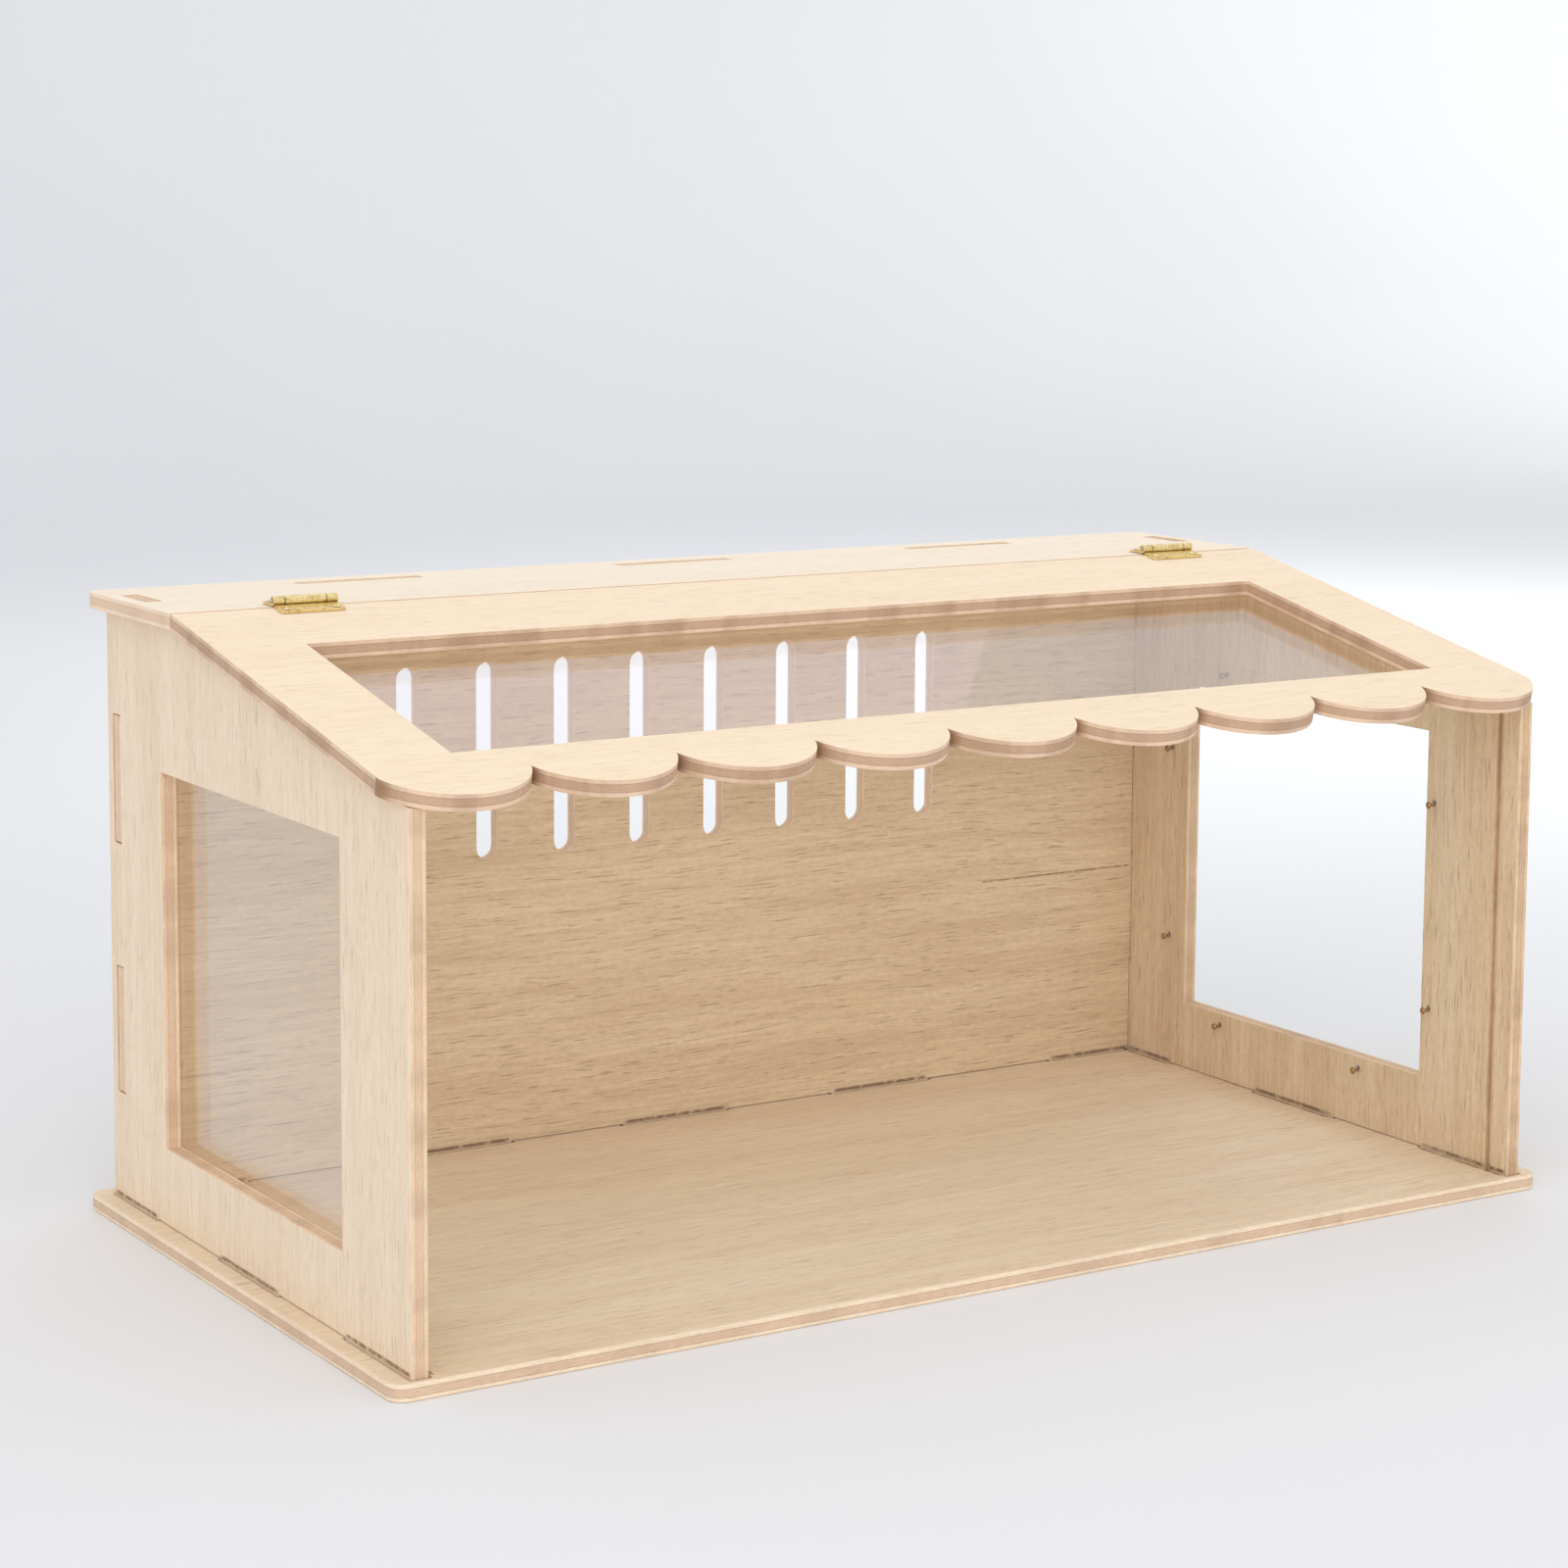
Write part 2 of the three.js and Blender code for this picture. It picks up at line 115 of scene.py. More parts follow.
def even_noise(tree, position, per_metre, detail=2.0, roughness=0.5):
    """A noise with the same scale in every direction."""
    spread = [dot(tree, position, axis * per_metre) for axis in (X, Y, Z)]
    return noise(tree, combine(tree, *spread), detail, roughness)


def remap(tree, value, low, high, to_low=0.0, to_high=1.0):
    inputs = {"Value": value, "From Min": low, "From Max": high, "To Min": to_low, "To Max": to_high}
    return add(tree, "ShaderNodeMapRange", inputs, interpolation_type="SMOOTHSTEP").outputs[0]


def mix(tree, factor, first, second, blend="MIX"):
    made = add(tree, "ShaderNodeMix", data_type="RGBA", blend_type=blend)
    for socket, value in ((made.inputs[0], factor), (made.inputs[6], first), (made.inputs[7], second)):
        if isinstance(value, bpy.types.NodeSocket):
            tree.links.new(value, socket)
        else:
            socket.default_value = value
    return made.outputs[2]


def new_material(name):
    """A material with an empty tree, and its output node."""
    material = bpy.data.materials.new(name)
    material.use_nodes = True
    material.node_tree.nodes.clear()
    output = material.node_tree.nodes.new("ShaderNodeOutputMaterial")
    return material, material.node_tree, output


# --- plywood --------------------------------------------------------------------------------------

def panel_coordinates(tree, grain, across, through, middle):
    """Metres along the grain, across it and out from the sheet's middle, and how flat-on the surface is."""
    place = add(tree, "ShaderNodeTexCoord")
    position, normal = place.outputs["Object"], place.outputs["Normal"]
    depth = maths(tree, "SUBTRACT", dot(tree, position, through), middle.dot(through))
    facing = maths(tree, "ABSOLUTE", dot(tree, normal, through))
    return dot(tree, position, grain), dot(tree, position, across), depth, facing


def stretched(tree, along, across, depth, per_metre_along, per_metre_across, seed):
    """Coordinates for a noise whose features run along the grain."""
    return combine(
        tree,
        maths(tree, "MULTIPLY_ADD", along, per_metre_along, seed),
        maths(tree, "MULTIPLY", across, per_metre_across),
        maths(tree, "MULTIPLY", depth, per_metre_across),
    )


def plywood(name, panel, look, seed):
    """Rotary-cut veneer on the faces, and three plies with glue lines on the sawn edges."""
    material, tree, output = new_material(name)
    along, across, depth, facing = panel_coordinates(tree, *panel)

    true_across = across
    drift = noise(tree, stretched(tree, along, across, depth, 5, 14, seed), 1.0)
    across = maths(tree, "MULTIPLY_ADD", drift, GRAIN_WANDER, across)

    figure = noise(tree, stretched(tree, along, across, depth, 6, 60, seed + 3), 2.0, 0.55)
    bands = noise(tree, stretched(tree, along, across, depth, 16, 420, seed + 7), 3.0, 0.6)
    fibres = noise(tree, stretched(tree, along, across, depth, 70, 1700, seed + 11), 3.0, 0.7)
    ripples = noise(tree, stretched(tree, along, across, depth, 420, 700, seed + 13), 2.0, 0.6)
    pores = noise(tree, stretched(tree, along, across, depth, 110, 1700, seed + 17), 2.0, 0.5)
    pores = remap(tree, pores, 0.58, 0.72)

    tone = maths(tree, "MULTIPLY", remap(tree, figure, 0.32, 0.68), FIGURE_SHARE)
    tone = maths(tree, "MULTIPLY_ADD", remap(tree, bands, 0.32, 0.68), BAND_SHARE, tone)
    tone = maths(tree, "MULTIPLY_ADD", remap(tree, fibres, 0.36, 0.64), FIBRE_SHARE, tone)
    tone = maths(tree, "MULTIPLY_ADD", remap(tree, ripples, 0.35, 0.65), RIPPLE_SHARE, tone)
    tone = maths(tree, "MULTIPLY", tone, look.contrast, clamp=True)
    face = mix(tree, tone, look.pale, look.tan)
    face = mix(tree, maths(tree, "MULTIPLY", pores, PORE_SHARE * look.contrast), face, look.dark)
    face = marks(tree, look, along, true_across, seed, face)

    edge = ply_edge(tree, along, true_across, depth, look, seed)
    sawn = remap(tree, facing, 0.55, 0.80, 1.0, 0.0)
    colour = mix(tree, sawn, face, edge)

    height = maths(tree, "MULTIPLY_ADD", pores, -0.8, fibres)
    bump = add(tree, "ShaderNodeBump", {"Strength": 0.5, "Distance": GRAIN_DEPTH, "Height": height})
    roughness = remap(tree, bands, 0.2, 0.8, 0.52, 0.68)
    shader = add(tree, "ShaderNodeBsdfPrincipled", {
        "Base Color": colour,
        "Roughness": roughness,
        "Normal": bump.outputs[0],
        "Specular IOR Level": 0.35,
    })
    tree.links.new(shader.outputs[0], output.inputs["Surface"])
    return material


def marks(tree, look, along, across, seed, face):
    """Dark, dashed marks, each a rectangle: checks in the veneer, and laser scorch with painted shade
    beside a tenon, where a wall meets the floor.
    """
    for number, (along_span, across_span, strength) in enumerate(look.marks):
        dashes = noise(tree, stretched(tree, along, across, 0.0, 300, 300, seed + 29 + number), 2.0, 0.6)
        amount = remap(tree, dashes, 0.34, 0.56, 0.35 * strength, strength)
        for distance, (start, end) in ((along, along_span), (across, across_span)):
            feather = min(MARK_FEATHER, (end - start) / 3)
            begun = remap(tree, distance, start, start + feather)
            ended = remap(tree, distance, end - feather, end, 1.0, 0.0)
            amount = maths(tree, "MULTIPLY", amount, maths(tree, "MULTIPLY", begun, ended))
        face = mix(tree, amount, face, look.dark)
    return face


def ply_edge(tree, along, across, depth, look, seed):
    """The colour of a sawn edge: outer plies, a browner core and dark glue lines, all uneven; on the lid,
    painted shade in the notches between scallops.
    """
    layers = combine(
        tree,
        maths(tree, "MULTIPLY_ADD", along, 420, seed),
        maths(tree, "MULTIPLY", across, 420),
        maths(tree, "MULTIPLY", depth, 2600),
    )
    streaks = remap(tree, noise(tree, layers, 3.0, 0.65), 0.34, 0.66)
    place = stretched(tree, along, across, 0.0, 60, 60, seed)
    scorch = remap(tree, noise(tree, place, 3.0, 0.6), 0.42, 0.66)
    out = maths(tree, "ABSOLUTE", depth)
    glue = PLY / 2 - VENEER
    in_core = remap(tree, out, glue - GLUE_LINE / 2, glue + GLUE_LINE / 2, 1.0, 0.0)
    off_glue = maths(tree, "ABSOLUTE", maths(tree, "SUBTRACT", out, glue))
    at_glue = remap(tree, off_glue, 0.0, GLUE_LINE, 1.0, 0.0)
    edge = mix(tree, in_core, look.veneer, look.core)
    edge = mix(tree, maths(tree, "MULTIPLY", streaks, 0.35), edge, look.tan, "MULTIPLY")
    edge = mix(tree, maths(tree, "MULTIPLY", at_glue, look.glue), edge, look.dark)
    edge = mix(tree, maths(tree, "MULTIPLY", scorch, look.scorch), edge, look.dark)
    if look is LOOKS["lid_frame"]:
        # painted shade: the lid's sawn edge darkened in each notch between two scallops, where shade falls
        notch_shade = maths(tree, "MULTIPLY", painted_cusp_shade(tree, along, across), 0.8)
        edge = mix(tree, notch_shade, edge, look.dark)
    return edge


def painted_cusp_shade(tree, along, across):
    """How near a place on the lid's front edge is to the notch between two scallops: the mask of the
    painted shade in each notch.
    """
    fold = maths(tree, "PINGPONG", along, CUSP_PITCH / 2)
    notch = remap(tree, fold, CUSP_PITCH / 2 - CUSP_SHADE_WIDTH, CUSP_PITCH / 2)
    front = apex("lid_frame", -LID_ACROSS).dot(LID_ACROSS)
    ahead = remap(tree, across, front + SCALLOP_DEPTH, front + SCALLOP_DEPTH + MM, 1.0, 0.0)
    return maths(tree, "MULTIPLY", notch, ahead)


# --- acrylic, metals ------------------------------------------------------------------------------

HEAD_ON = 0.039  # the share of light that one acrylic face mirrors straight on
EDGE_HAZE = 0.10  # how frosted a pane's cut edge is
FROST = (0.80, 0.84, 0.83, 1)


def acrylic(name, through, gloss):
    """Clear cast sheet: it mirrors more at a grazing angle, and its cut edges are lightly frosted."""
    material, tree, output = new_material(name)
    place = add(tree, "ShaderNodeTexCoord")
    facing = maths(tree, "ABSOLUTE", dot(tree, place.outputs["Normal"], through))
    smears = even_noise(tree, place.outputs["Object"], 60, 3.0)
    mirror = add(tree, "ShaderNodeBsdfPrincipled", {
        "Base Color": (1, 1, 1, 1),
        "Metallic": 1.0,
        "Roughness": remap(tree, smears, 0.3, 0.8, 0.015, 0.06),
    })
    clear = add(tree, "ShaderNodeBsdfTransparent", {"Color": (0.992, 0.995, 0.994, 1)})
    grazing = add(tree, "ShaderNodeLayerWeight", {"Blend": 0.5}).outputs["Facing"]
    share = maths(tree, "MULTIPLY_ADD", maths(tree, "POWER", grazing, 5.0), 1 - HEAD_ON, HEAD_ON)
    share = maths(tree, "MULTIPLY", share, gloss)
    face = add(tree, "ShaderNodeMixShader", {0: share, 1: clear.outputs[0], 2: mirror.outputs[0]})
    frost = add(tree, "ShaderNodeBsdfPrincipled", {"Base Color": FROST, "Roughness": 0.45})
    haze = add(tree, "ShaderNodeMixShader", {0: EDGE_HAZE, 1: clear.outputs[0], 2: frost.outputs[0]})
    cut = remap(tree, facing, 0.6, 0.8, 1.0, 0.0)
    both = add(tree, "ShaderNodeMixShader", {0: cut, 1: face.outputs[0], 2: haze.outputs[0]})
    tree.links.new(both.outputs[0], output.inputs["Surface"])
    return material


def metal(name, bright, dull, low, high, grain_scale):
    """Plated or drawn metal, with blotches of tarnish and a fine brushed grain along X."""
    material, tree, output = new_material(name)
    position = add(tree, "ShaderNodeTexCoord").outputs["Object"]
    tarnish = even_noise(tree, position, 700, 4.0, 0.6)
    brushed = noise(tree, combine(tree, *[
        dot(tree, position, X * grain_scale / 12),
        dot(tree, position, Y * grain_scale),
        dot(tree, position, Z * grain_scale),
    ]), 2.0)
    bump = add(tree, "ShaderNodeBump", {"Strength": 0.35, "Distance": 0.02 * MM, "Height": brushed})
    shader = add(tree, "ShaderNodeBsdfPrincipled", {
        "Base Color": mix(tree, remap(tree, tarnish, 0.42, 0.75), bright, dull),
        "Metallic": 1.0,
        "Roughness": remap(tree, tarnish, 0.3, 0.8, low, high),
        "Normal": bump.outputs[0],
    })
    tree.links.new(shader.outputs[0], output.inputs["Surface"])
    return material


# --- the frame's own directions -------------------------------------------------------------------

def middle_of(node):
    low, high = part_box(node)
    return (low + high) / 2


def lid_normal():
    """The way that the lid's top face points, from the largest face of its pane that looks up."""
    faces = [face for face in NODES["lid_pane"].data.polygons if face.normal.z > 0.5]
    return max(faces, key=lambda face: face.area).normal.copy()


LID_UP = lid_normal()
SLOPE = atan2(-LID_UP.y, LID_UP.z)
LID_ACROSS = LID_UP.cross(X)
LID_TURN = Matrix.Rotation(SLOPE, 4, "X") @ Matrix.Rotation(pi, 4, "Z")  # lays a leaf on the lid


# --- pieces ---------------------------------------------------------------------------------------

def finish_mesh(name, mesh, material, smooth_angle=radians(40)):
    """An object for a bmesh, smooth except across sharp edges."""
    bmesh.ops.remove_doubles(mesh, verts=mesh.verts, dist=1e-7)
    bmesh.ops.recalc_face_normals(mesh, faces=mesh.faces)
    for face in mesh.faces:
        face.smooth = True
    for edge in mesh.edges:
        if len(edge.link_faces) == 2:
            edge.smooth = edge.calc_face_angle() < smooth_angle
    data = bpy.data.meshes.new(name)
    mesh.to_mesh(data)
    mesh.free()
    data.materials.append(material)
    made = bpy.data.objects.new(name, data)
    bpy.context.scene.collection.objects.link(made)
    return made


def lathe(profile, segments):
    """A bmesh turned about Z from (radius, height) pairs that start and end on the axis."""
    mesh = bmesh.new()
    rings = []
    for radius, height in profile:
        if radius == 0:
            rings.append([mesh.verts.new((0, 0, height))])
            continue
        turn = 2 * pi / segments
        rings.append([mesh.verts.new((radius * cos(i * turn), radius * sin(i * turn), height))
                      for i in range(segments)])
    for lower, upper in zip(rings, rings[1:]):
        for i in range(segments):
            j = (i + 1) % segments
            corners = [lower[i % len(lower)], lower[j % len(lower)]]
            corners += [upper[j % len(upper)], upper[i % len(upper)]]
            mesh.faces.new(list(dict.fromkeys(corners)))
    return mesh


def arc(centre, radius, start, end, steps):
    """Points of an arc in a plane, with its angles in degrees."""
    angles = [radians(start + (end - start) * i / steps) for i in range(steps + 1)]
    return [(centre[0] + radius * cos(a), centre[1] + radius * sin(a)) for a in angles]


def dome(base_radius, rise, bottom, steps=7):
    """The profile of a shallow dome, from its rim up to the axis."""
    sphere = (base_radius ** 2 + rise ** 2) / (2 * rise)
    rim = atan2(base_radius, sphere - rise)
    points = []
    for i in range(steps):
        angle = rim * (1 - i / steps)
        points.append((sphere * sin(angle), bottom + rise - sphere + sphere * cos(angle)))
    return points + [(0, bottom + rise)]


def extrude_outline(points, thickness):
    """A bmesh slab over a closed outline in X and Y, from z = 0 up."""
    mesh = bmesh.new()
    face = mesh.faces.new([mesh.verts.new((x, y, 0)) for x, y in points])
    made = bmesh.ops.extrude_face_region(mesh, geom=[face])
    lifted = [item for item in made["geom"] if isinstance(item, bmesh.types.BMVert)]
    bmesh.ops.translate(mesh, verts=lifted, vec=(0, 0, thickness))
    return mesh


def cut(piece, cutters):
    """Takes the cutters out of the piece for good, and removes them."""
    for cutter in cutters:
        modifier = piece.modifiers.new("cut", "BOOLEAN")
        modifier.object = cutter
        modifier.operation = "DIFFERENCE"
        modifier.solver = "EXACT"
    settle(piece)
    for cutter in cutters:
        bpy.data.objects.remove(cutter)


def settle(piece):
    """Makes the piece's modifiers part of its mesh."""
    graph = bpy.context.evaluated_depsgraph_get()
    graph.update()
    data = bpy.data.meshes.new_from_object(piece.evaluated_get(graph))
    piece.modifiers.clear()
    piece.data = data


def soften(piece, width, segments=2, smooth=True):
    """Rounds the piece's sharp edges, as sanding or tumbling leaves them."""
    bevel = piece.modifiers.new("rounding", "BEVEL")
    bevel.width = width
    bevel.segments = segments
    bevel.limit_method = "ANGLE"
    bevel.angle_limit = radians(35)
    bevel.harden_normals = smooth
    bevel.use_clamp_overlap = smooth


def apex(node, direction):
    """The vertex of a CAD node that lies furthest along a direction."""
    return max((v.co for v in NODES[node].data.vertices), key=lambda co: co.dot(direction)).copy()


def stand_at(piece, foot, up):
    """Places a piece that was made about Z, with its origin at foot and its Z along up."""
    piece.matrix_world = Matrix.Translation(foot) @ up.to_track_quat("Z", "Y").to_matrix().to_4x4()


# --- nails ----------------------------------------------------------------------------------------

NAIL_HEAD, NAIL_RISE, NAIL_SHANK = 1.15 * MM, 0.8 * MM, 0.58 * MM
NAIL_RIM, NAIL_POINT = 0.12 * MM, 1.4 * MM


def nail_mesh(material, length):
    """A round-headed pin nail: its head's underside is at z = 0 and its point is at -length."""
    profile = [(0, -length), (NAIL_SHANK, -length + NAIL_POINT), (NAIL_SHANK, 0)]
    profile += [(NAIL_HEAD - NAIL_RIM, 0), (NAIL_HEAD, NAIL_RIM)]
    profile += dome(NAIL_HEAD, NAIL_RISE - NAIL_RIM, NAIL_RIM)[1:]
    piece = finish_mesh("nail", lathe(profile, 28), material)
    data = piece.data
    bpy.data.objects.remove(piece)
    return data


def place_nails(prefix, inward, body, material):
    """Every nail of one pane, each along the way that its own CAD solid points."""
    nodes = sorted(name for name in NODES if name.startswith(prefix))
    length = (apex(nodes[0], inward) - apex(nodes[0], -inward)).dot(inward) - NAIL_RISE
    data = nail_mesh(material, length)
    for node in nodes:
        piece = bpy.data.objects.new(f"{node}_round", data)
        bpy.context.scene.collection.objects.link(piece)
        stand_at(piece, apex(node, inward) - inward * NAIL_RISE, inward)
        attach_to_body(piece, body)
        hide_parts(node)


# --- hinges: rolled knuckles, a plate with countersunk screws, and a pin with domed ends ----------

KNUCKLE_OUT, KNUCKLE_IN = 1.4 * MM, 0.72 * MM
LEAF_LENGTH, LEAF_WIDTH, LEAF_THICK = 20.5 * MM, 7.5 * MM, 0.7 * MM
LEAF_CORNER = 1.2 * MM
MIDDLE_KNUCKLE, KNUCKLE_GAP = 13 * MM, 0.25 * MM
PLATE_CLEAR = 1.75 * MM
SCREW_X, SCREW_Y = 7.8 * MM, 5.2 * MM
SCREW_HOLE, SCREW_HEAD, SCREW_RISE, SCREW_SHANK = 1.0 * MM, 1.6 * MM, 0.38 * MM, 0.72 * MM
SCREW_RIM, SCREW_POINT, SCREW_NECK = 0.1 * MM, 1.6 * MM, 0.5 * MM
SCREW_LENGTH, SCREW_LIFT = 4.4 * MM, 0.1 * MM
EDGE_BREAK = 0.09 * MM  # the rounding of the leaves' edges
CURL_START, CURL_END = -90, -382  # degrees round the pin, where a knuckle's roll leaves the plate and stops
CURL_FOOT, TONGUE_END = 0.9 * MM, 0.6 * MM  # how far from the axis the roll and the plate overlap
HALF_LEAF, HALF_MIDDLE = LEAF_LENGTH / 2, MIDDLE_KNUCKLE / 2
MIDDLE_SPANS = [(-HALF_MIDDLE, HALF_MIDDLE)]
END_SPANS = [(-HALF_LEAF, -HALF_MIDDLE - KNUCKLE_GAP), (HALF_MIDDLE + KNUCKLE_GAP, HALF_LEAF)]


def knuckle(span, material):
    """One rolled knuckle: the plate's end curled up and round, seen from the side as a 9."""
    outer = arc((0, 0), KNUCKLE_OUT, CURL_START, CURL_END, 40)
    inner = arc((0, 0), KNUCKLE_IN, CURL_END, CURL_START, 40)
    foot = [(CURL_FOOT, LEAF_THICK - KNUCKLE_OUT), (CURL_FOOT, -KNUCKLE_OUT)]
    inner = [point for point in inner if point[1] > LEAF_THICK - KNUCKLE_OUT or point[0] < 0]
    mesh = extrude_outline(outer + inner + foot, span[1] - span[0])
    stand = Matrix(((0, 0, 1, span[0]), (1, 0, 0, 0), (0, 1, 0, 0), (0, 0, 0, 1)))
    mesh.transform(stand)
    piece = finish_mesh("knuckle", mesh, material)
    soften(piece, EDGE_BREAK)
    return piece


def leaf_plate(spans, material):
    """The flat of a leaf, with rounded outer corners and tongues that run into its knuckles."""
    r = LEAF_CORNER
    points = arc((HALF_LEAF - r, LEAF_WIDTH - r), r, 0, 90, 8)
    points += arc((r - HALF_LEAF, LEAF_WIDTH - r), r, 90, 180, 8)
    points.append((-HALF_LEAF, PLATE_CLEAR))
    for start, end in spans:
        points += [(start, PLATE_CLEAR), (start, TONGUE_END), (end, TONGUE_END), (end, PLATE_CLEAR)]
    points.append((HALF_LEAF, PLATE_CLEAR))
    distinct = [p for i, p in enumerate(points) if p != points[i - 1]]
    mesh = extrude_outline(distinct, LEAF_THICK)
    mesh.transform(Matrix.Translation((0, 0, -KNUCKLE_OUT)))
    plate = finish_mesh("plate", mesh, material)
    cutters = []
    for x in (-SCREW_X, SCREW_X):
        top = LEAF_THICK - KNUCKLE_OUT
        sink = [(0, top - 2 * MM), (SCREW_HOLE, top - 2 * MM), (SCREW_HOLE, top - 0.45 * MM)]
        sink += [(SCREW_HEAD + 0.15 * MM, top + 0.2 * MM), (0, top + 0.2 * MM)]
        hole = finish_mesh("sink", lathe(sink, 32), material)
        hole.matrix_world = Matrix.Translation((x, SCREW_Y, 0))
        cutters.append(hole)
    cut(plate, cutters)
    soften(plate, EDGE_BREAK)
    return plate


def leaf_mesh(name, spans, material):
    """A whole leaf about its axis, as one mesh."""
    parts = [leaf_plate(spans, material)] + [knuckle(span, material) for span in spans]
    for part in parts:
        settle(part)
    whole = bmesh.new()
    for part in parts:
        whole.from_mesh(part.data)
    data = bpy.data.meshes.new(name)
    whole.to_mesh(data)
    whole.free()
    data.materials.append(material)
    for part in parts:
        bpy.data.objects.remove(part)
    return data


def screw_mesh(material, length):
    """A countersunk screw with an oval head and a cross recess: the head's rim is at z = 0."""
    profile = [(0, -length), (SCREW_SHANK, -length + SCREW_POINT), (SCREW_SHANK, -SCREW_NECK)]
    profile += [(SCREW_HEAD - SCREW_RIM, 0)] + dome(SCREW_HEAD, SCREW_RISE, 0)
    screw = finish_mesh("screw", lathe(profile, 36), material)
    bars = []
    half, width, bottom = 0.95 * MM, 0.17 * MM, 0.05 * MM
    for turn in (0, 90):
        bar = extrude_outline([(-half, -width), (half, -width), (half, width), (-half, width)], 1 * MM)
        bar.transform(Matrix.Rotation(radians(turn), 4, "Z") @ Matrix.Translation((0, 0, bottom)))
        bars.append(finish_mesh("bar", bar, material))
    cut(screw, bars)
    data = screw.data
    bpy.data.objects.remove(screw)
    return data


def place_hinge(side, brass, steel, leaves, screw):
    """One butt hinge about its own pin, and its four screws with their recesses at odd angles."""
    axis = middle_of(f"{side}_hinge_pin")
    flat = Matrix.Translation(axis)
    halves = (("fixed", "cage", flat, leaves[0]), ("moving", "lid", flat @ LID_TURN, leaves[1]))
    for part, body, place, data in halves:
        node = f"{side}_hinge_{part}_leaf"
        piece = bpy.data.objects.new(f"{node}_rolled", data)
        bpy.context.scene.collection.objects.link(piece)
        piece.matrix_world = flat
        attach(piece, body, node)
        for number, x in ((1, -SCREW_X), (2, SCREW_X)):
            node = f"{side}_hinge_{part}_screw_{number}"
            head = bpy.data.objects.new(f"{node}_cross", screw)
            bpy.context.scene.collection.objects.link(head)
            lift = LEAF_THICK - KNUCKLE_OUT + SCREW_LIFT
            twist = 0.7 * number + (1.9 if part == "fixed" else 0.4) + axis.x * 9
            seat = place @ Matrix.Translation((x, SCREW_Y, lift))
            head.matrix_world = seat @ Matrix.Rotation(twist, 4, "Z")
            attach(head, body, node)
    node = f"{side}_hinge_pin"
    low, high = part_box(node)
    radius, half = (high.z - low.z) / 2, (high.x - low.x) / 2
    tip = dome(radius, 0.25 * MM, half - 0.25 * MM, 5)
    profile = [(r, -z) for r, z in reversed(tip)] + tip
    pin = finish_mesh(f"{node}_domed", lathe(profile, 24), steel)
    stand_at(pin, axis, X)
    attach(pin, "cage", node)


def attach(piece, body, node):
    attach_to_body(piece, body)
    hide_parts(node)


# --- materials on the panels ----------------------------------------------------------------------

def dress_panel(node, material, rounding):
    """Gives a CAD panel its material, and merges and rounds its edges without changing its mesh."""
    piece = NODES[node]
    piece.data.materials.clear()
    piece.data.materials.append(material)
    weld = piece.modifiers.new("weld", "WELD")
    weld.merge_threshold = 0.005 * MM
    soften(piece, rounding, segments=3, smooth=False)


Look = namedtuple("Look", "pale tan dark veneer core glue scorch contrast marks")
BROWN, DEEP_BROWN = srgb(150, 112, 78), srgb(128, 90, 56)
BARE_EDGE, BARE_CORE = srgb(248, 226, 202), srgb(234, 206, 178)

# Each mark: its span along the grain, its span across it, and its strength.
SIDE_INNER, BACK_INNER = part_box("left_window_pane")[0].x + 0.3 * MM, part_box("back_panel")[0].y
FOOT_SCORCH_AND_SHADE = 1.8 * MM  # how far the scorch and painted shade reach from a wall's foot
BACK_TENONS_X = [(-188.5, -153.5), (-101.5, -61.5), (-20, 20), (61.5, 101.5), (153.5, 188.5)]
SIDE_TENONS_Y = [(0, 40), (83, 124), (170, 204)]  # from a side panel's front edge
WALL_FOOT = (5.0 * MM, 6.7 * MM)  # the height of the dark line, laser scorch and painted shade, over a wall's tenon
FLOOR_STRENGTH, WALL_STRENGTH = 0.8, 0.9
BACK_CHECKS = [
    ((0.122, 0.188), (0.0718, 0.0728), 0.75),
    ((-0.188, -0.150), (0.0400, 0.0410), 0.5),
]
# CUSP_SHADE_WIDTH is how far the painted shade reaches from each notch between scallops
CUSP_PITCH, CUSP_SHADE_WIDTH, SCALLOP_DEPTH = 44 * MM, 2.4 * MM, 17 * MM


def back_spans():
    """The back panel's floor tenons, along the cage's length."""
    return [(a * MM, b * MM) for a, b in BACK_TENONS_X]


def side_spans():
    """A side panel's floor tenons, from the front of the cage to its back."""
    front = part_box("left_side_panel")[0].y
    return [(front + a * MM, front + b * MM) for a, b in SIDE_TENONS_Y]


def floor_marks():
    """Dark lines on the base board's top beside each tenon of the back and side panels: laser scorch, and
    painted shade where the walls meet the floor.
    """
    inner = abs(SIDE_INNER)
    # painted shade, with laser scorch, along each wall's foot on the floor
    made = [(span, (BACK_INNER - FOOT_SCORCH_AND_SHADE, BACK_INNER), FLOOR_STRENGTH) for span in back_spans()]
    for span in side_spans():
        made.append(((-inner, FOOT_SCORCH_AND_SHADE - inner), span, FLOOR_STRENGTH))
        made.append(((inner - FOOT_SCORCH_AND_SHADE, inner), span, FLOOR_STRENGTH))
    return made


def side_marks():
    """Dark lines on a side panel just over its floor tenons: laser scorch, and painted shade at the wall's
    foot.
    """
    return [(WALL_FOOT, span, WALL_STRENGTH) for span in side_spans()]


def back_marks():
    """Dark lines just over the back panel's floor tenons, laser scorch and painted shade at the wall's
    foot, and two checks in its veneer.
    """
    return [(span, WALL_FOOT, WALL_STRENGTH) for span in back_spans()] + BACK_CHECKS


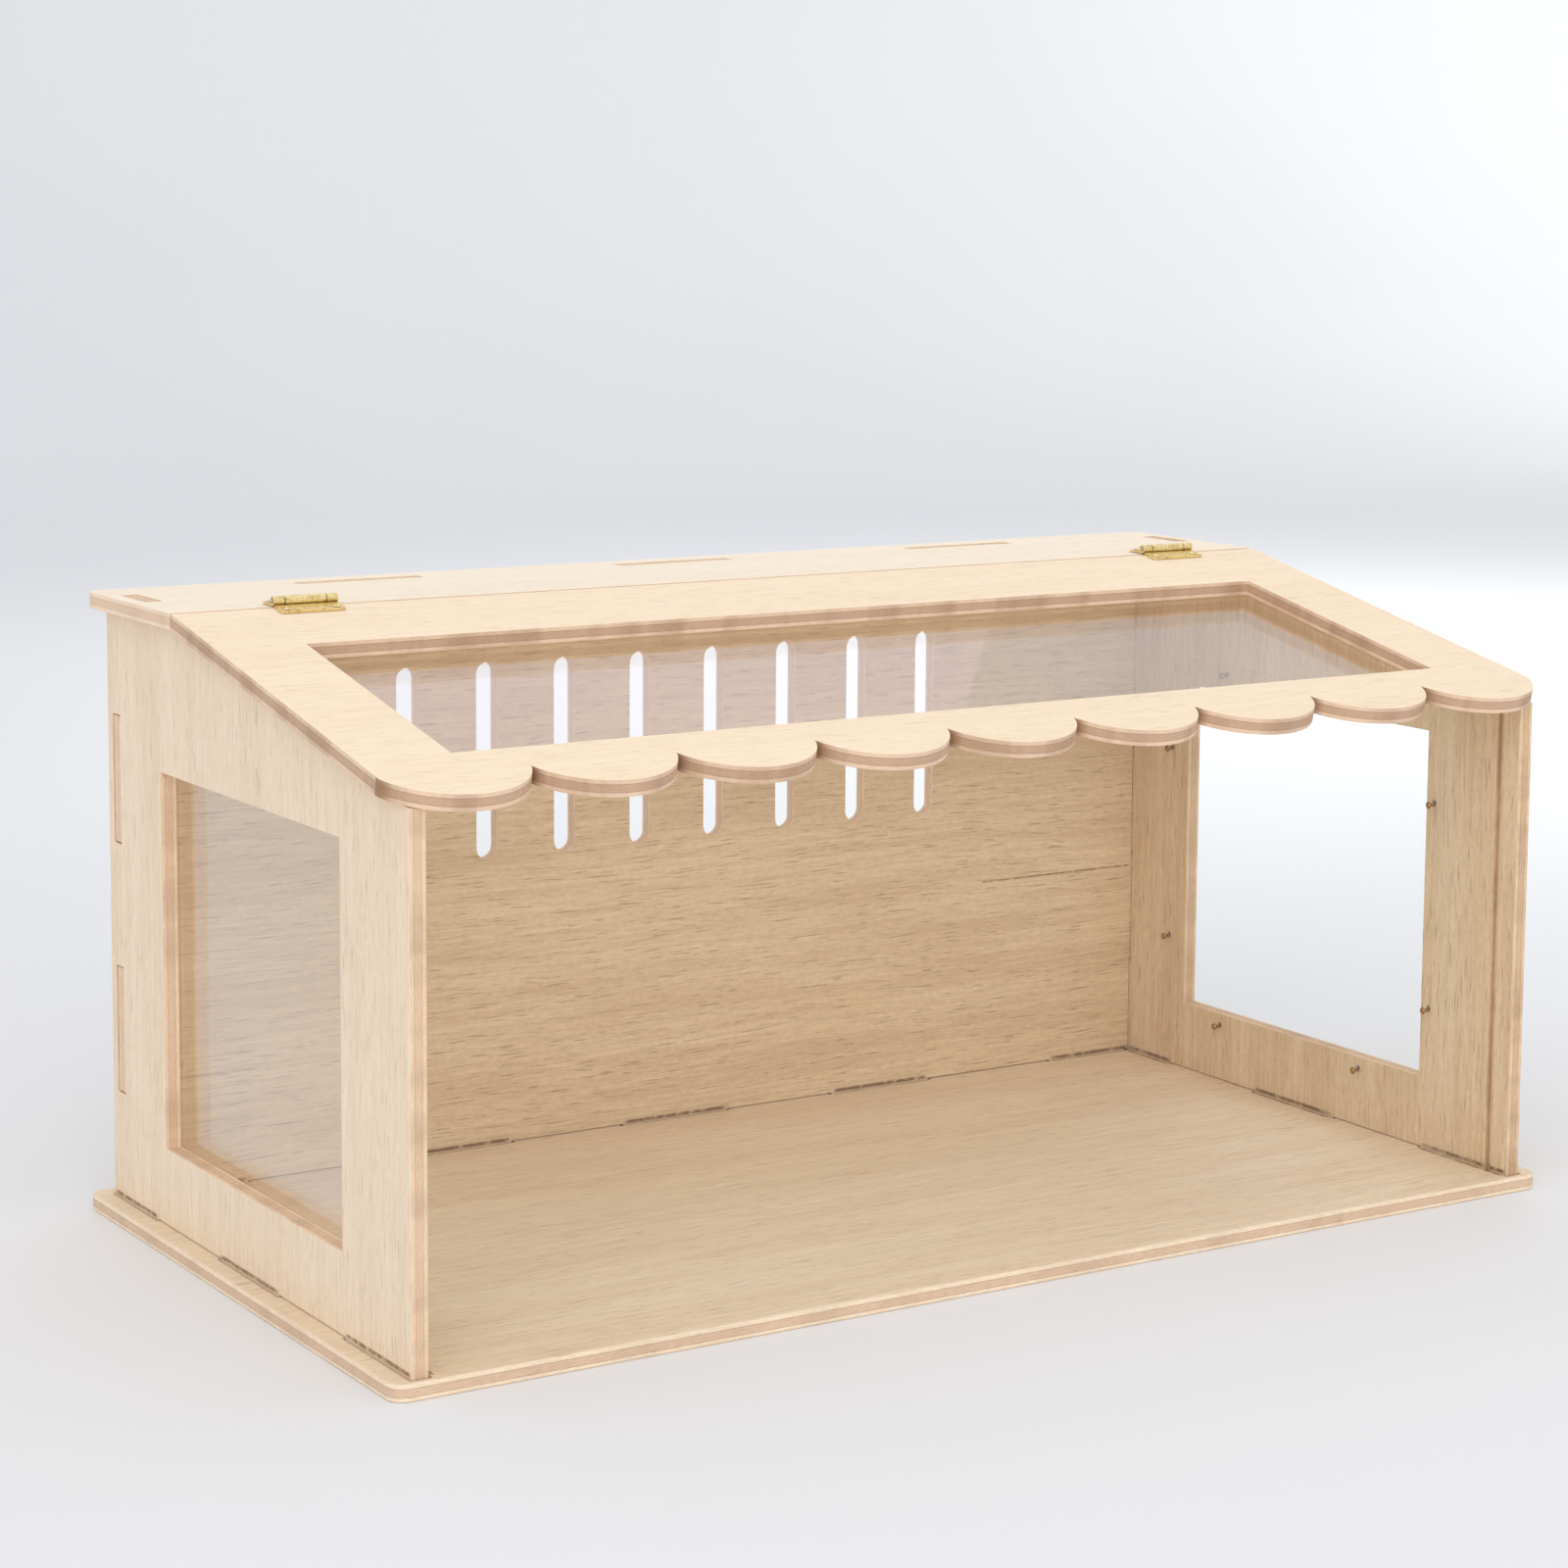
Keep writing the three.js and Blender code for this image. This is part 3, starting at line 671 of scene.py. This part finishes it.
LOOKS = {
    "base_board": Look(srgb(243, 226, 198), srgb(223, 197, 166), DEEP_BROWN,
                       srgb(254, 234, 208), srgb(228, 200, 172), 0.55, 0.12, 0.9, floor_marks()),
    "roof_strip": Look(srgb(254, 240, 218), srgb(247, 226, 198), BROWN,
                       BARE_EDGE, BARE_CORE, 0.35, 0.12, 0.6, []),
    "back_panel": Look(srgb(236, 213, 175), srgb(212, 184, 145), DEEP_BROWN,
                       srgb(248, 226, 198), srgb(238, 211, 180), 0.35, 0.06, 1.2, back_marks()),
    "left_side_panel": Look(srgb(250, 232, 206), srgb(234, 206, 176), BROWN,
                            srgb(242, 215, 186), srgb(230, 200, 170), 0.45, 0.25, 0.8, side_marks()),
    "right_side_panel": Look(srgb(240, 221, 190), srgb(217, 190, 154), DEEP_BROWN,
                             srgb(238, 208, 172), srgb(222, 190, 156), 0.45, 0.25, 1.2, side_marks()),
    "lid_frame": Look(srgb(252, 232, 202), srgb(241, 214, 180), BROWN,
                      srgb(238, 210, 184), srgb(206, 174, 148), 0.70, 0.35, 0.6, []),
}


def dress_panels():
    lid_panel = (X, LID_ACROSS, LID_UP, lid_middle())
    panels = {
        "base_board": (X, Y, Z, middle_of("base_board")),
        "roof_strip": (X, Y, Z, middle_of("roof_strip")),
        "back_panel": (X, Z, Y, middle_of("back_panel")),
        "left_side_panel": (Z, Y, X, middle_of("left_side_panel")),
        "right_side_panel": (Z, Y, X, middle_of("right_side_panel")),
        "lid_frame": lid_panel,
    }
    for number, (node, panel) in enumerate(panels.items()):
        material = plywood(f"{node}_wood", panel, LOOKS[node], SEED + SEED_STEP * number)
        dress_panel(node, material, BASE_ROUNDING if node == "base_board" else EDGE_ROUNDING)


def lid_middle():
    """A point on the lid sheet's middle plane: one that its top face and its thickness give."""
    return apex("lid_frame", LID_UP) - LID_UP * PLY / 2


def dress_panes():
    """Each pane's material, with how strongly it mirrors next to plain clean acrylic."""
    panes = {
        "left_window_pane": (X, 1.7),
        "right_window_pane": (X, 0.3),
        "front_pane": (Y, 0.4),
        "lid_pane": (LID_UP, 1.0),
    }
    for node, (through, gloss) in panes.items():
        piece = NODES[node]
        piece.data.materials.clear()
        piece.data.materials.append(acrylic(f"{node}_acrylic", through, gloss))
        piece.visible_shadow = False
        piece.visible_diffuse = False


# --- studio ---------------------------------------------------------------------------------------

def studio_floor():
    """A pale floor that curves up into a wall behind, and runs far out to both sides."""
    material, tree, output = new_material("studio_paper")
    position = add(tree, "ShaderNodeTexCoord").outputs["Object"]
    cloud = noise(tree, position, 2.0)
    paint = mix(tree, remap(tree, cloud, 0.3, 0.7), (0.80, 0.80, 0.81, 1), (0.83, 0.83, 0.835, 1))
    shader = add(tree, "ShaderNodeBsdfPrincipled", {"Base Color": paint, "Roughness": 0.9})
    tree.links.new(shader.outputs[0], output.inputs["Surface"])
    floor_end, bend, top, half = 2.2, 1.2, 5.0, 7.0
    profile = [(-6.0, 0.0), (floor_end, 0.0)]
    profile += arc((floor_end, bend), bend, -84, 0, 14)
    profile.append((floor_end + bend, top))
    mesh = bmesh.new()
    left = [mesh.verts.new((-half, y, z)) for y, z in profile]
    right = [mesh.verts.new((half, y, z)) for y, z in profile]
    for i in range(len(profile) - 1):
        mesh.faces.new((left[i], right[i], right[i + 1], left[i + 1]))
    floor = finish_mesh("studio_floor", mesh, material)


def area_light(name, place, aim, size, power, colour, spread=pi):
    light = bpy.data.lights.new(name, "AREA")
    light.shape = "RECTANGLE"
    light.size, light.size_y = size
    light.energy = power
    light.color = colour
    light.spread = spread
    made = bpy.data.objects.new(name, light)
    made.visible_camera = False
    made.location = place
    made.rotation_euler = (Vector(aim) - Vector(place)).to_track_quat("-Z", "Y").to_euler()
    bpy.context.scene.collection.objects.link(made)
    return made


def studio_lights():
    world = bpy.data.worlds.new("studio")
    bpy.context.scene.world = world
    world.use_nodes = True
    background = world.node_tree.nodes["Background"]
    background.inputs["Color"].default_value = (0.94, 0.96, 1.0, 1)
    background.inputs["Strength"].default_value = 0.92
    area_light("key", (-1.1, -1.2, 1.5), (0, 0, 0.1), (1.4, 1.4), 8, (1.0, 0.97, 0.93))
    area_light("top", (0.3, 0.2, 2.2), (0, 0, 0), (2.2, 2.2), 2.5, (1, 1, 1))
    area_light("fill", (-0.5, -2.2, 0.45), (0, 0, 0.08), (1.6, 0.8), 4.8, (1.0, 0.98, 0.95))
    area_light("wall", (3.5, 1.7, 1.0), (3.5, 3.4, 0.4), (1.4, 1.4), 10, (1, 1, 1))
    area_light("behind", (1.15, 1.0, 1.3), (1.0, 0.8, 0), (0.9, 0.9), 2.4, (1, 1, 1), radians(75))


def reflector():
    """A lit card behind and above the cage that only the glossy lid pane shows."""
    left, right, low, high, away = 0.4, 1.715, 1.1, 2.0, 2.0
    mesh = bmesh.new()
    corners = ((left, low), (right, low), (right, high), (left, high))
    mesh.faces.new([mesh.verts.new((x, away, z)) for x, z in corners])
    material, tree, output = new_material("lit_card")
    glow = add(tree, "ShaderNodeEmission", {"Color": (0.96, 0.90, 1.0, 1), "Strength": 1.0})
    tree.links.new(glow.outputs[0], output.inputs["Surface"])
    card = finish_mesh("reflector", mesh, material)
    card.visible_camera = False
    card.visible_diffuse = False
    card.visible_shadow = False


def photo_camera():
    turn, tilt, roll = radians(AZIMUTH), radians(ELEVATION), radians(ROLL)
    back = Vector((sin(turn) * cos(tilt), -cos(turn) * cos(tilt), sin(tilt)))
    level = Z.cross(back).normalized()
    rise = back.cross(level)
    right = level * cos(roll) + rise * sin(roll)
    up = rise * cos(roll) - level * sin(roll)
    camera = bpy.data.cameras.new("camera")
    camera.lens = LENS
    camera.sensor_width = SENSOR
    camera.shift_y = SHIFT_Y
    camera.clip_start = 0.01
    made = bpy.data.objects.new("camera", camera)
    place = AIM + back * DISTANCE + right * SLIDE_RIGHT + up * SLIDE_UP
    made.matrix_world = Matrix.Translation(place) @ Matrix((right, up, back)).transposed().to_4x4()
    bpy.context.scene.collection.objects.link(made)
    bpy.context.scene.camera = made


# --- scene ----------------------------------------------------------------------------------------

bpy.context.scene.view_settings.view_transform = "Standard"
photo_camera()
studio_floor()
studio_lights()
reflector()
dress_panels()
dress_panes()

brass = metal("hinge_brass", srgb(246, 224, 164), srgb(204, 172, 100), 0.28, 0.5, 9000)
steel = metal("pin_steel", srgb(200, 196, 186), srgb(130, 122, 110), 0.25, 0.4, 9000)
aged = metal("nail_brass", srgb(186, 148, 90), srgb(124, 92, 50), 0.45, 0.7, 5000)

place_nails("left_window_nail", X, "cage", aged)
place_nails("right_window_nail", -X, "cage", aged)

leaves = (leaf_mesh("fixed_leaf", END_SPANS, brass), leaf_mesh("moving_leaf", MIDDLE_SPANS, brass))
leaves[1].transform(LID_TURN)
screw = screw_mesh(brass, SCREW_LENGTH)
for side in ("left", "right"):
    place_hinge(side, brass, steel, leaves, screw)
